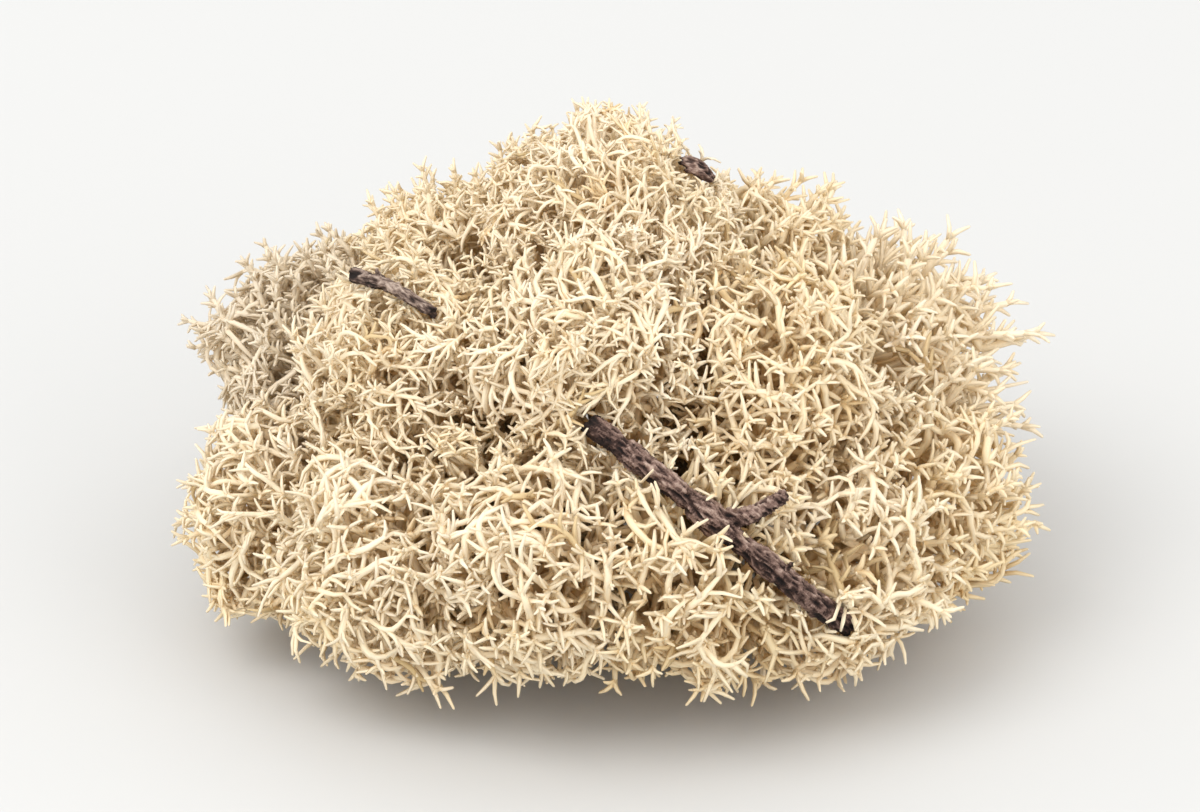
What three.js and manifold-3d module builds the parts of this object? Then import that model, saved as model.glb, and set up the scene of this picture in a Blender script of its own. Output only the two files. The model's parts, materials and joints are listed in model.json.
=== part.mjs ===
// A clump of reindeer lichen, often sold as reindeer moss, lifted whole from its mat.
// Each tuft is one podetium: a dead stalk that forks into arms and ends in a rounded,
// many-lobed head. The tufts fan out from a gathered foot and lean on each other.
// A forked twig, a short twig and a bark chip are caught between the heads.
// Millimetres, +Z up, the flat feet of the stalks at z = 0.

import * as THREE from 'three';
import { mergeVertices } from 'three/addons/utils/BufferGeometryUtils.js';
import Module from 'manifold-3d';

const wasm = await Module();
wasm.setup();

// ---- Driving dimensions ----

const GAP = 0.3;             // clearance between pieces that touch
const FOOT_GATHER = 0.4;     // foot's distance from the middle, as a share of the head's
const STALK_RADIUS = 1.9;    // dead stalk at the ground
const NECK_RADIUS = 1.5;     // stalk just below its fork
const STALK_SIDES = 7;
const FOOT_OVERRUN = 3.8;    // stalk made below the ground, where it is cut off flat
const FORK_SHARE = 0.42;     // height of the fork, as a share of the stalk's whole length
const ARM_COUNT = 4;
const ARM_RADIUS = 1.4;      // arm at the fork
const ARM_SIDES = 4;
const ARM_SPREAD = 0.52;     // distance of the arms' ends from the axis, in head radii
const ARM_DROP = 0.25;       // distance of the arms' ends below the head's middle, in head radii
const ARM_SWELL = 1.6;       // an arm's radius at its end, in its radius at the fork
const CORE_SHARE = 0.74;     // the head's inner mass, in head radii
const LOBE_COUNT = 8;
const LOBE_SHARE = 0.42;     // radius of a lobe, in head radii
const LOBE_REACH = 0.6;      // distance of a lobe's centre from the head's, in head radii
const LOBE_SWEEP = 2.0;      // lobes cover this angle from the head's tip, in radians
const HEAD_DETAIL = 2;       // subdivisions of the head's icosahedron
const TWIG_SIDES = 8;
const STEM_STEPS = 14;       // straight lengths in the forked twig's stem
const SHOOT_STEPS = 6;       // straight lengths in its side shoot, and in the short twig

const CREAM = '#cdc29b';
const STRAW = '#c4b588';
const CHALK = '#cdc8b6';
const TWIG_BROWN = '#4b3a33';
const BARK_GREY = '#6d6058';

// Head centres and head radii, from the crown down to the rim.
const TUFTS = [
  { name: 'tuft_crown', head: [1, 4, 36.5], radius: 12.5, colour: CREAM },
  { name: 'tuft_crown_left', head: [-11.8, 8.5, 28.8], radius: 11.5, colour: CREAM },
  { name: 'tuft_crown_right', head: [12.8, 9, 27.6], radius: 11.5, colour: STRAW },
  { name: 'tuft_middle_left', head: [-17, -6.5, 27.5], radius: 11.5, colour: CREAM },
  { name: 'tuft_middle_front', head: [-1, -10.5, 31], radius: 12, colour: CREAM },
  { name: 'tuft_middle_right', head: [15.5, -8, 27.5], radius: 11.5, colour: STRAW },
  { name: 'tuft_left_pale', head: [-26, 8.5, 20.5], radius: 11, colour: CHALK },
  { name: 'tuft_left_rim', head: [-29, -6.5, 12.5], radius: 10.5, colour: CREAM },
  { name: 'tuft_right_shoulder', head: [26, 8, 20.3], radius: 11, colour: CREAM },
  { name: 'tuft_right_rim', head: [29.5, -6, 13], radius: 10.5, colour: STRAW },
  { name: 'tuft_front_left', head: [-19.5, -19.5, 14], radius: 11, colour: CREAM },
  { name: 'tuft_front_middle_left', head: [-6.5, -23.5, 17], radius: 11.5, colour: CREAM },
  { name: 'tuft_front_middle_right', head: [8.5, -23.5, 16.5], radius: 11.5, colour: STRAW },
  { name: 'tuft_front_right', head: [21.5, -19, 13.5], radius: 10.5, colour: CREAM },
  { name: 'tuft_back_left', head: [-19.5, 20, 14], radius: 11.5, colour: CHALK },
  { name: 'tuft_back_middle_left', head: [-6, 20.5, 18.5], radius: 12.5, colour: CREAM },
  { name: 'tuft_back_middle_right', head: [9.5, 21, 17.5], radius: 12, colour: CREAM },
  { name: 'tuft_back_right', head: [22.5, 19.5, 13.5], radius: 11, colour: STRAW },
];

// ---- Solids: three.js geometry in, boolean joins and cuts, three.js geometry out ----

function toSolid(geometry) {
  const bare = geometry.clone();
  bare.deleteAttribute('normal');
  bare.deleteAttribute('uv');
  const merged = mergeVertices(bare, 1e-4);
  return new wasm.Manifold(new wasm.Mesh({
    numProp: 3,
    vertProperties: new Float32Array(merged.attributes.position.array),
    triVerts: new Uint32Array(merged.index.array),
  }));
}

function toGeometry(solid) {
  const mesh = solid.getMesh();
  const geometry = new THREE.BufferGeometry();
  geometry.setAttribute('position', new THREE.BufferAttribute(mesh.vertProperties, 3));
  geometry.setIndex(new THREE.BufferAttribute(mesh.triVerts, 1));
  geometry.computeVertexNormals();
  return geometry;
}

function join(solids) {
  return solids.reduce((whole, piece) => whole.add(piece));
}

// A large block whose near face lies on a plane; it fills the side the normal points to.
function blockBeyond(point, normal) {
  const size = 200;
  const block = new THREE.BoxGeometry(size, size, size);
  block.translate(0, 0, size / 2);
  const turn = new THREE.Quaternion().setFromUnitVectors(
    new THREE.Vector3(0, 0, 1),
    normal.clone().normalize(),
  );
  block.applyQuaternion(turn);
  block.translate(point.x, point.y, point.z);
  return toSolid(block);
}

// Turns a geometry made along +Z so that it runs from one point towards another.
function aim(geometry, from, towards) {
  const turn = new THREE.Quaternion().setFromUnitVectors(
    new THREE.Vector3(0, 0, 1),
    towards.clone().sub(from).normalize(),
  );
  geometry.applyQuaternion(turn);
  geometry.translate(from.x, from.y, from.z);
  return geometry;
}

function taperedRod(from, to, radiusFrom, radiusTo, sides) {
  const length = from.distanceTo(to);
  const rod = new THREE.CylinderGeometry(radiusTo, radiusFrom, length, sides);
  rod.rotateX(Math.PI / 2);
  rod.translate(0, 0, length / 2);
  return toSolid(aim(rod, from, to));
}

// ---- One tuft ----

const GOLDEN_ANGLE = Math.PI * (3 - Math.sqrt(5));

function footOf(tuft) {
  const [x, y] = tuft.head;
  return new THREE.Vector3(x * FOOT_GATHER, y * FOOT_GATHER, 0);
}

function headOf(tuft) {
  return new THREE.Vector3(...tuft.head);
}

// Two directions square to the tuft's own axis.
function crossDirections(axis) {
  const side = new THREE.Vector3(-axis.y, axis.x, 0.01).normalize();
  side.addScaledVector(axis, -side.dot(axis)).normalize();
  return [side, new THREE.Vector3().crossVectors(axis, side)];
}

function makeStalk(foot, fork) {
  const below = foot.clone().addScaledVector(fork.clone().sub(foot).normalize(), -FOOT_OVERRUN);
  return taperedRod(below, fork, STALK_RADIUS, NECK_RADIUS, STALK_SIDES);
}

function makeArms(fork, head, axis, radius, turn) {
  const [side, up] = crossDirections(axis);
  const arms = [];
  for (let k = 0; k < ARM_COUNT; k += 1) {
    const angle = turn + (2 * Math.PI * k) / ARM_COUNT;
    const end = head.clone()
      .addScaledVector(side, Math.cos(angle) * ARM_SPREAD * radius)
      .addScaledVector(up, Math.sin(angle) * ARM_SPREAD * radius)
      .addScaledVector(axis, -ARM_DROP * radius);
    arms.push(taperedRod(fork, end, ARM_RADIUS, ARM_RADIUS * ARM_SWELL, ARM_SIDES));
  }
  return join(arms);
}

// Directions of the head's lobes, as unit vectors spread from its tip round to its sides.
function lobeDirections(axis, turn) {
  const [side, up] = crossDirections(axis);
  const directions = [];
  for (let k = 0; k < LOBE_COUNT; k += 1) {
    const cosine = 1 - ((k + 0.5) / LOBE_COUNT) * (1 - Math.cos(LOBE_SWEEP));
    const sine = Math.sqrt(1 - cosine * cosine);
    const angle = turn + k * GOLDEN_ANGLE;
    directions.push(axis.clone().multiplyScalar(cosine)
      .addScaledVector(side, Math.cos(angle) * sine)
      .addScaledVector(up, Math.sin(angle) * sine));
  }
  return directions;
}

// How far the head reaches along a direction: out to its core, or to the lobe that stands there.
function reachAlong(direction, lobes) {
  let reach = CORE_SHARE;
  for (const lobe of lobes) {
    const along = direction.dot(lobe) * LOBE_REACH;
    const beside = LOBE_REACH ** 2 - along ** 2;
    if (along > 0 && beside < LOBE_SHARE ** 2) {
      reach = Math.max(reach, along + Math.sqrt(LOBE_SHARE ** 2 - beside));
    }
  }
  return reach;
}

function makeHead(head, axis, radius, turn) {
  const lobes = lobeDirections(axis, turn);
  const geometry = new THREE.IcosahedronGeometry(1, HEAD_DETAIL);
  const position = geometry.attributes.position;
  const vertex = new THREE.Vector3();
  for (let i = 0; i < position.count; i += 1) {
    vertex.fromBufferAttribute(position, i).normalize();
    vertex.multiplyScalar(reachAlong(vertex, lobes) * radius).add(head);
    position.setXYZ(i, vertex.x, vertex.y, vertex.z);
  }
  return toSolid(geometry);
}

function makeWholeTuft(tuft, index) {
  const foot = footOf(tuft);
  const head = headOf(tuft);
  const axis = head.clone().sub(foot).normalize();
  const fork = foot.clone().lerp(head, FORK_SHARE);
  const turn = index * GOLDEN_ANGLE;
  return join([
    makeStalk(foot, fork),
    makeArms(fork, head, axis, tuft.radius, turn),
    makeHead(head, axis, tuft.radius, turn),
  ]);
}

// The plane where two tufts lean on each other: it stands between their heads and their feet.
function contactPlane(tuft, other) {
  const share = tuft.radius / (tuft.radius + other.radius);
  const between = headOf(tuft).lerp(headOf(other), share);
  const betweenFeet = footOf(tuft).lerp(footOf(other), 0.5);
  const rise = between.clone().sub(betweenFeet).normalize();
  const normal = headOf(other).sub(headOf(tuft));
  normal.addScaledVector(rise, -normal.dot(rise)).normalize();
  return { between, normal };
}

function trimTuft(solid, tuft) {
  let trimmed = solid.subtract(blockBeyond(new THREE.Vector3(0, 0, 0), new THREE.Vector3(0, 0, -1)));
  for (const other of TUFTS) {
    if (other === tuft) continue;
    const { between, normal } = contactPlane(tuft, other);
    const face = between.addScaledVector(normal, -GAP / 2);
    trimmed = trimmed.subtract(blockBeyond(face, normal));
  }
  return trimmed;
}

// ---- Woody bits caught in the heads ----

const FORKED_TWIG = {
  stem: [[-0.8, -21.8, 31.2], [4, -24.2, 28.4], [8, -26.2, 25.9], [12, -28.2, 23.2], [16, -28.8, 19.8],
    [20, -28.2, 15.8], [23, -26.6, 12.6]],
  stemRadius: 1.05,
  fork: [[10.5, -27.4, 24.2], [14, -27.7, 24.9], [17, -26.8, 26.3]],
  forkRadius: 0.8,
};
const SHORT_TWIG = { path: [[-22.6, -5.2, 37.6], [-19, -8.2, 37.9], [-15.4, -11.4, 37.1]], radius: 0.6 };
const BARK_CHIP = {
  outline: [[-1.9, -0.6], [-0.4, -1.3], [1.5, -1], [2.1, 0.3], [0.7, 1.2], [-1.3, 0.8]],
  thickness: 0.9,
  centre: [9.4, 7.6, 42],
  tilt: [0.3, 0.6, 0.4],
};

// A curved rod through the points; `extra` makes it fatter and longer all round.
function rodAlong(points, radius, steps, extra) {
  const section = new THREE.Shape();
  section.absarc(0, 0, radius + extra, 0, 2 * Math.PI, false);
  const stations = points.map((point) => new THREE.Vector3(...point));
  const first = stations[0];
  const last = stations[stations.length - 1];
  const beforeFirst = first.clone().sub(stations[1]).setLength(extra);
  const afterLast = last.clone().sub(stations[stations.length - 2]).setLength(extra);
  first.add(beforeFirst);
  last.add(afterLast);
  const geometry = new THREE.ExtrudeGeometry(section, {
    extrudePath: new THREE.CatmullRomCurve3(stations),
    steps,
    curveSegments: TWIG_SIDES / 2,
  });
  return toSolid(geometry);
}

function makeForkedTwig(extra) {
  return join([
    rodAlong(FORKED_TWIG.stem, FORKED_TWIG.stemRadius, STEM_STEPS, extra),
    rodAlong(FORKED_TWIG.fork, FORKED_TWIG.forkRadius, SHOOT_STEPS, extra),
  ]);
}

function makeShortTwig(extra) {
  return rodAlong(SHORT_TWIG.path, SHORT_TWIG.radius, SHOOT_STEPS, extra);
}

function makeBarkChip(extra) {
  const { outline, thickness, centre, tilt } = BARK_CHIP;
  const grown = outline.map(([x, y]) => {
    const corner = new THREE.Vector2(x, y);
    return corner.setLength(corner.length() + extra);
  });
  const chip = new THREE.ExtrudeGeometry(new THREE.Shape(grown), {
    depth: thickness + 2 * extra,
    bevelEnabled: false,
  });
  chip.translate(0, 0, -extra - thickness / 2);
  chip.rotateX(tilt[0]).rotateY(tilt[1]).rotateZ(tilt[2]);
  chip.translate(...centre);
  return toSolid(chip);
}

// ---- The clump ----

const clump = new THREE.Group();

function addPiece(name, solid, colour) {
  const material = new THREE.MeshStandardMaterial({ color: colour, roughness: 0.95, metalness: 0 });
  const piece = new THREE.Mesh(toGeometry(solid), material);
  piece.name = name;
  clump.add(piece);
}

const caughtPieces = join([makeForkedTwig(GAP), makeShortTwig(GAP), makeBarkChip(GAP)]);

TUFTS.forEach((tuft, index) => {
  const whole = makeWholeTuft(tuft, index);
  addPiece(tuft.name, trimTuft(whole, tuft).subtract(caughtPieces), tuft.colour);
});
addPiece('forked_twig', makeForkedTwig(0), TWIG_BROWN);
addPiece('short_twig', makeShortTwig(0), BARK_GREY);
addPiece('bark_chip', makeBarkChip(0), TWIG_BROWN);

// The origin is the middle of the clump's box, on the ground.
const middle = new THREE.Box3().setFromObject(clump).getCenter(new THREE.Vector3());
clump.position.set(-middle.x, -middle.y, 0);

export default clump;
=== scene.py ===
"""The looks of a clump of reindeer lichen, grown strand by strand on the CAD clump.

Tips are spread over the clump's heads where light reaches them. Each tuft gathers its own tips in
small groups, level by level down to its fork, and the tree that this makes is drawn as tapered
tubes. Every tip ends in a star of arms. Many of the outer ones also send a long strand over the
head, or a sprig that stands clear of it. The two twigs and the bark chip are carved meshes.
Growing is done in millimetres; the meshes are in metres.
"""

import json
import math

import bpy
import numpy as np
from mathutils import Euler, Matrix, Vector, noise


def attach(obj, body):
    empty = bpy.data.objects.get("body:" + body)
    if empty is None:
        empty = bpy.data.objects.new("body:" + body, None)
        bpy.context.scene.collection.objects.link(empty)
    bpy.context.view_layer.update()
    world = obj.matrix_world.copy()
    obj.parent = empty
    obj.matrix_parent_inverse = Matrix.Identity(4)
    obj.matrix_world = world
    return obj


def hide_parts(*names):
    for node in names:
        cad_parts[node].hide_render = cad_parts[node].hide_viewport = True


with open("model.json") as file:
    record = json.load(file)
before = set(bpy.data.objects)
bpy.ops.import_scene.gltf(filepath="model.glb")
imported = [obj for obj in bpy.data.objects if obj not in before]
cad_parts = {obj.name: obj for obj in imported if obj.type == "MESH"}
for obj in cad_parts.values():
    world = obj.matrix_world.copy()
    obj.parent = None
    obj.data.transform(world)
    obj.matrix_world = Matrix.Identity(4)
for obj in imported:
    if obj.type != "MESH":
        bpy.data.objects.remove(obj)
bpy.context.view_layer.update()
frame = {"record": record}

MM = 0.001
SEED = 20
NOISE_SEED = 1  # the noise of mathutils takes a seed from the clock if none is given

# ---- The clump's layout, as the part has it, in millimetres ----

# Each tuft's head: x, y, z, radius; how coarse its network is; how long its tines are; and
# the share of its outer tips that send up a sprig.
TUFTS = {
    "tuft_crown": (1, 4, 36.5, 12.5, 0.73, 1.0, 0.16),
    "tuft_crown_left": (-11.8, 8.5, 28.8, 11.5, 0.82, 1.05, 0.5),
    "tuft_crown_right": (12.8, 9, 27.6, 11.5, 1.04, 1.3, 0.34),
    "tuft_middle_left": (-17, -6.5, 27.5, 11.5, 0.84, 1.0, 0.12),
    "tuft_middle_front": (-1, -10.5, 31, 12, 0.88, 1.05, 0.08),
    "tuft_middle_right": (15.5, -8, 27.5, 11.5, 1.05, 1.15, 0.14),
    "tuft_left_pale": (-26, 8.5, 20.5, 11, 0.92, 1.15, 0.5),
    "tuft_left_rim": (-29, -6.5, 12.5, 10.5, 0.98, 1.0, 0.15),
    "tuft_right_shoulder": (26, 8, 20.3, 11, 1.32, 1.6, 0.8),
    "tuft_right_rim": (29.5, -6, 13, 10.5, 1.15, 1.2, 0.3),
    "tuft_front_left": (-19.5, -19.5, 14, 11, 1.02, 1.1, 0.12),
    "tuft_front_middle_left": (-6.5, -23.5, 17, 11.5, 1.1, 1.15, 0.15),
    "tuft_front_middle_right": (8.5, -23.5, 16.5, 11.5, 1.15, 1.2, 0.18),
    "tuft_front_right": (21.5, -19, 13.5, 10.5, 1.15, 1.15, 0.18),
    "tuft_back_left": (-19.5, 20, 14, 11.5, 1.02, 1.1, 0.4),
    "tuft_back_middle_left": (-6, 20.5, 18.5, 12.5, 1.0, 1.0, 0.4),
    "tuft_back_middle_right": (9.5, 21, 17.5, 12, 1.05, 1.1, 0.3),
    "tuft_back_right": (22.5, 19.5, 13.5, 11, 1.1, 1.2, 0.35),
}
LAYOUT_SHIFT = np.array([-0.15, 0.585, 0.0])  # the part is centred on its box at the end
FOOT_GATHER = 0.4  # foot's distance from the middle, as a share of the head's
FORK_SHARE = 0.42  # height of the fork on the stalk's way to the head

NAMES = list(TUFTS)
CENTRES = np.array([row[:3] for row in TUFTS.values()]) + LAYOUT_SHIFT
RADII, COARSENESS, TINE_SHARES, SPRIG_SHARES = np.array([row[3:] for row in TUFTS.values()]).T

# Courses of the forked twig's stem, of its fork and of the short twig.
STEM_COURSE = [
    (-0.8, -21.8, 31.2), (4, -24.2, 28.4), (8, -26.2, 25.9), (12, -28.2, 23.2),
    (16, -28.8, 19.8), (20, -28.2, 15.8), (23, -26.6, 12.6),
]
FORK_COURSE = [(10.5, -27.4, 24.2), (14, -27.7, 24.9), (17, -26.8, 26.3)]
SHORT_COURSE = [(-22.6, -5.2, 37.6), (-19, -8.2, 37.9), (-15.4, -11.4, 37.1)]
BARK_CHIP = (9.4, 7.6, 42)
CHIP_RADIUS = 0.7
CHIP_OPENING = 6.0  # how far the bark chip lies open towards the photograph's camera
# How far tips stay from the woody bits, so that these show, and how far sprigs and long strands do.
STEM_CLEAR, FORK_CLEAR, SHORT_CLEAR, CHIP_CLEAR = 1.9, 1.6, 1.5, 2.35
SPRIG_CLEAR, RUNNER_CLEAR = 1.8, 1.35
STEM_SUNK = 0.8  # from this share of its length on, the stem lies among the branches
SHORT_CROSSED = (0.62, 0.09)  # branches cross the short twig about here, this far each way
# Broken side shoots of the forked twig: where on the stem, which way, length, radius.
SPURS = [
    (0.36, (-0.2, -0.6, 1.0), 1.9, 0.42),
    (0.47, (0.3, -1.0, -0.3), 1.6, 0.45),
    (0.12, (0.5, -0.5, 0.8), 1.3, 0.34),
    (0.70, (0.6, -0.4, 0.9), 2.2, 0.4),
]

# Pits between the heads, as the photograph's camera sees them: across, up, radius, depth.
PITS = [
    (8.0, 18.0, 2.4, 0.8), (2.4, 7.4, 2.6, 0.8), (21.0, 3.6, 3.4, 3.4), (26.5, 3.0, 2.4, 3.0),
    (-0.2, -9.1, 2.8, 4.0), (7.3, -5.1, 1.8, 3.0), (13.0, -3.8, 2.3, 3.5), (-9.5, -1.0, 2.0, 2.2),
    (-15.7, -1.0, 1.7, 3.0), (22.3, 18.0, 2.0, 2.2), (20.1, 28.0, 1.7, 3.5), (-18.2, 7.4, 2.2, 2.0),
    (3.0, 18.0, 2.6, 1.0), (-1.5, 0.0, 2.2, 2.5), (-10.5, -6.5, 2.0, 3.0), (20.5, 10.4, 1.8, 1.6),
]

# ---- Growth, in millimetres ----

BLEND = 2.2  # how softly the heads run together
LUMP_SIZE = 6.5  # small domes on a head
LUMP_HEIGHT = 1.5
LUMP_SWING = 0.35  # the noise that makes the domes seldom passes this
LUMP_TOP, LUMP_MEAN = 1.6, 0.9
TIP_INSET = 1.55  # tips' mean depth below the heads' smooth outline
TIP_SPACING = 1.62  # between neighbouring tips, times the tuft's coarseness
SHELLS = ((0.0, 1.0), (1.5, 0.76), (3.4, 1.1), (7.0, 1.8))  # depth inside, and spacing there
SHELL_SHARES = (0.45, 0.3, 0.16, 0.09)
OPEN_INSIDE = 1.2  # how much sparser a coarse tuft's inner shells are
CREASE_DEPTH = 5.5  # how far down a crease tips still grow
SHALLOW_CREASE = 2.0  # deeper down it, all tips are on the outer shell
CREASE_SPACING = 0.05  # how much sparser tips get for each millimetre down
CANDIDATES = 3.6  # places tried for a tip, for each square millimetre
LOWEST_TIP = 1.5
LEAST_SEEN = 0.06  # the share of the sky that a tip needs
DIM, DIM_SPACING = 0.18, 1.3  # tips that see less than this are sparser
SKY_RAYS = 40
SHUFFLE = 1.5  # tips are placed from the outside in, shuffled over this depth
WANDER, WANDER_SIZE = 0.9, 4.0  # how far neighbouring tips drift together, and over what distance
JITTER = 0.35  # how much single tips stand out or hang back
STRAY_SHARE = 0.07  # of the tips, how many stand out farther
LOWEST_STRAND = (0.6, 1.2)  # height of the lowest tips, and of the lowest long strands
OUTER, DEEP = 1.2, 2.8  # tips less deep than the first are outer ones, past the second deep
TINE_LENGTH = 1.7
RUNNER_SHARE = 0.7  # of the outer tips, how many send a long strand over the surface
DEAD_SHARE = 0.04  # of the long strands, how many have browned
RUNNER_STEPS = 7
RUNNER_PACE = 0.88  # length of one step, times the tuft's coarseness
RUNNER_RISE = 0.7  # how high a long strand arches
RUNNER_DIVE = 0.9  # how deep its end dips
RUNNER_CLIMB = 0.45  # how steeply it climbs or dips at most
RUNNER_FORKS = 0.52  # chance of a side arm at each of its steps
FLOW_SIZE = 9.0  # neighbouring long strands run much the same way over this distance
SPRIG_LENGTH = (1.6, 3.0)  # of a sprig's stem
# Side arms of a sprig: at which ring of the stem, how many, how far they lean out.
SPRIG_ARMS = ((1, 1, 1.0), (2, 2, 0.95), (3, 3, 0.65))
LEVEL_STEPS = (1.5, 2.1, 2.9, 3.8, 4.6)  # from a group of tips or branches down to its parent
GROUP_SIZES, GROUP_CHANCES = (2, 3, 4), (0.3, 0.45, 0.25)
LAST_ARMS = 5  # so few arms or fewer meet at the fork
TIP_RADIUS = 0.26
INNER_SWELL = 1.25  # arms inside the head are this much thicker than the outer ones
RADIUS_POWER = 3.0  # a parent's radius to this power is the sum of its children's
THICK_ARM = 0.55  # arms from this radius on are drawn rounder
MAX_ARM_RADIUS = 1.0
FOOT_RADIUS = 1.4
SIDE_SPACING = 2.8  # between side twigs on a branch
STALK_TWIGS = 7  # bare side twigs for each millimetre of a stalk
LOOSE = (0.75, 1.25)  # how much most lengths vary

# ---- Tints and ages, from 0 to 1 ----

MOTTLE = 0.14  # how much the tint changes along a strand
MOTTLE_WAVES = np.array([2.3, 3.1, -2.7])
TINT_PATCH = 9.0  # patches of one tint are about this wide
AGE_SPAN = 24.0  # a branch this far from its tips is fully brown
LOW_BROWNING_AND_SHADE, BROWN_AND_SHADE_BELOW = 0.3, 16  # how much tips near the ground darken, partly real browning and partly painted shade, and from what height
MAP_TURN = 2.4  # each vertex is turned this much more about its place on the map,
MAP_STEP = (0.004, 0.02)  # at this distance from it

# Which smooth field the drift of each thing takes.
WANDER_FIELD, TINT_FIELD, LUMP_FIELD, FLOW_FIELD, TINE_FIELD = 1, 2, 4, 5, 6

VIEW_ELEVATION = math.radians(29.5)  # how far down the photograph looks at the clump
VIEW_BACK = np.array([0, -math.cos(VIEW_ELEVATION), math.sin(VIEW_ELEVATION)])
VIEW_UP = np.array([0, math.sin(VIEW_ELEVATION), math.cos(VIEW_ELEVATION)])


# ---- Small helpers ----


def norm(vectors):
    return np.linalg.norm(vectors, axis=-1)


def unit(vectors):
    return vectors / np.maximum(norm(vectors), 1e-9)[..., None]


def square_to(directions, rng):
    """Unit vectors square to each direction, turned at random about it."""
    other = unit(rng.normal(size=directions.shape))
    return unit(np.cross(directions, other))


def between(side, up, turn):
    """The directions at an angle from one to the other of two that are square to each other."""
    return np.cos(turn)[:, None] * side + np.sin(turn)[:, None] * up


def drift(points, scale, field):
    """A smooth random vector at each point; it changes over about `scale` millimetres."""
    shift = Vector((field * 13.7, field * 7.1, field * 3.3))
    return np.array([noise.noise_vector(Vector(p) / scale + shift) for p in points])


def all_round(count):
    """Directions spread evenly over the sphere."""
    k = np.arange(count) + 0.5
    height = 1 - 2 * k / count
    turn = math.pi * (1 + 5**0.5) * k
    flat = np.sqrt(1 - height**2)
    return np.stack([np.cos(turn) * flat, np.sin(turn) * flat, height], 1)


def smooth_path(points, count):
    """Points along a smooth curve through the given ones (Catmull-Rom)."""
    points = np.asarray(points, float)
    ends = np.concatenate([2 * points[:1] - points[1:2], points, 2 * points[-1:] - points[-2:-1]])
    t = np.linspace(0, len(points) - 1 - 1e-9, count)
    k = t.astype(int)
    s = (t - k)[:, None]
    a, b, c, d = ends[k], ends[k + 1], ends[k + 2], ends[k + 3]
    bend, twist = 2 * a - 5 * b + 4 * c - d, 3 * b - a - 3 * c + d
    return 0.5 * (2 * b + (c - a) * s + bend * s**2 + twist * s**3)


def curve(start, end, leave, arrive, rings, bow):
    """Points along smooth curves from start to end: (n, rings, 3)."""
    t = np.linspace(0, 1, rings)[None, :, None]
    span = norm(end - start)[:, None, None]
    a, b = start[:, None], end[:, None]
    m0, m1 = leave[:, None] * span, arrive[:, None] * span
    path = (
        (2 * t**3 - 3 * t**2 + 1) * a
        + (t**3 - 2 * t**2 + t) * m0
        + (-2 * t**3 + 3 * t**2) * b
        + (t**3 - t**2) * m1
    )
    return path + (t * (1 - t) * 4) * bow[:, None] * span


def short_arms(base, away, bend, size):
    """Arms of two halves, the first along `away` and the second along `bend`: (n, 3, 3)."""
    middle = base + away * size * 0.5
    end = middle + bend * size * 0.5
    return np.stack([base, middle, end], 1)


def add_object(name, data):
    made = bpy.data.objects.new(name, data)
    bpy.context.scene.collection.objects.link(made)
    return made


def note(mesh, label, kind, values):
    """Keeps a value for each vertex, which a material reads by its label."""
    field = "vector" if kind == "FLOAT_VECTOR" else "value"
    mesh.attributes.new(label, kind, "POINT").data.foreach_set(field, values.astype(np.float32).ravel())


# The twigs' middle lines in their places, and how near to each a strand may come.
STEM, FORK, SHORT = (
    smooth_path(course, 60) + LAYOUT_SHIFT for course in (STEM_COURSE, FORK_COURSE, SHORT_COURSE)
)
TWIG_ROOM = ((STEM, 1.6), (FORK, 1.3), (SHORT, 1.15))


def bend_round_twigs(points):
    """Moves the points that lie in a twig out to its side, so that strands bend round it."""
    moved = points.reshape(-1, 3).copy()
    for line, room in TWIG_ROOM:
        near = np.flatnonzero(((moved > line.min(0) - room) & (moved < line.max(0) + room)).all(1))
        gap = norm(moved[near, None] - line)
        close = gap.min(1) < room
        near, gap = near[close], gap[close]
        nearest = line[gap.argmin(1)]
        moved[near] = nearest + unit(moved[near] - nearest) * room
    return moved.reshape(points.shape)


# ---- Tubes ----


def tube_walls(centres, radii, along, side, sides):
    """The vertices of tubes' rings: (n, rings, sides, 3), turned from ring to ring as little as can be."""
    angle = 2 * np.pi * np.arange(sides) / sides
    rows = []
    for ring in range(radii.shape[1]):
        forward = along[:, ring]
        side = unit(side - forward * (side * forward).sum(1, keepdims=True))
        up = np.cross(forward, side)
        circle = np.cos(angle)[:, None] * side[:, None] + np.sin(angle)[:, None] * up[:, None]
        rows.append(centres[:, ring, None] + radii[:, ring, None, None] * circle)
    return np.stack(rows, 1)


def tube_faces(rings, sides):
    """One tube's quads, and the fans of triangles that close its foot and its tip."""
    here = np.arange(sides)
    after = (here + 1) % sides
    ring_start = np.arange(rings - 1)[:, None] * sides
    corners = [here, after, sides + after, sides + here]
    quads = np.stack([ring_start + corner for corner in corners], -1).reshape(-1, 4)
    last = (rings - 1) * sides
    foot_fan = np.stack([after, here, np.full(sides, rings * sides)], 1)
    tip_fan = np.stack([last + here, last + after, np.full(sides, rings * sides + 1)], 1)
    return quads, np.concatenate([foot_fan, tip_fan])


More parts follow.
